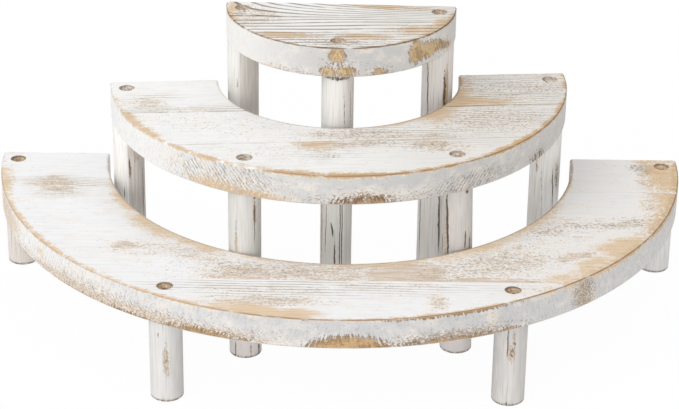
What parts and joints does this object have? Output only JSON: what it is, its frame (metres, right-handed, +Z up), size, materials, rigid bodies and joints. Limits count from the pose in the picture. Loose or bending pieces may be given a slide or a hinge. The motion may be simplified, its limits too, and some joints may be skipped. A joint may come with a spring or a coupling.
{
  "type": "tiered display stand",
  "caption": "Nesting half-round wooden display risers with round dowel legs, standing one inside another as rising steps, distressed whitewash finish.",
  "frame": {"origin": "on the floor, under the middle of the space that the standing risers take up", "axes": "+X to the right along the straight back edges, +Y to the back, +Z up; the round fronts face -Y"},
  "size_m": [0.6, 0.3094, 0.25],
  "materials": {
    "plank_wood": "worn whitewash over pine, matt",
    "leg_wood": "worn whitewash over a pine dowel, matt",
    "screw_steel": "zinc, smeared with wash"
  },
  "bodies": {
    "bottom_riser": {"bottom_bow_board": "plank_wood", "bottom_front_board": "plank_wood", "bottom_left_arm_board": "plank_wood", "bottom_left_end_leg": "leg_wood", "bottom_left_end_screw": "screw_steel", "bottom_left_front_leg": "leg_wood", "bottom_left_front_screw": "screw_steel", "bottom_left_rear_board": "plank_wood", "bottom_right_arm_board": "plank_wood", "bottom_right_end_leg": "leg_wood", "bottom_right_end_screw": "screw_steel", "bottom_right_front_leg": "leg_wood", "bottom_right_front_screw": "screw_steel", "bottom_right_rear_board": "plank_wood"},
    "middle_riser": {"middle_bow_board": "plank_wood", "middle_front_board": "plank_wood", "middle_left_end_leg": "leg_wood", "middle_left_end_screw": "screw_steel", "middle_left_front_leg": "leg_wood", "middle_left_front_screw": "screw_steel", "middle_left_rear_board": "plank_wood", "middle_right_end_leg": "leg_wood", "middle_right_end_screw": "screw_steel", "middle_right_front_leg": "leg_wood", "middle_right_front_screw": "screw_steel", "middle_right_rear_board": "plank_wood"},
    "top_riser": {"top_front_board": "plank_wood", "top_front_leg": "leg_wood", "top_front_screw": "screw_steel", "top_left_end_leg": "leg_wood", "top_left_end_screw": "screw_steel", "top_rear_board": "plank_wood", "top_right_end_leg": "leg_wood", "top_right_end_screw": "screw_steel"}
  },
  "joints": [
    {"name": "middle_lift", "type": "slide", "parent": "bottom_riser", "child": "middle_riser", "axis": [0, 0, 1], "range_m": [0, 0.26]},
    {"name": "top_lift", "type": "slide", "parent": "bottom_riser", "child": "top_riser", "axis": [0, 0, 1], "range_m": [0, 0.19]}
  ]
}
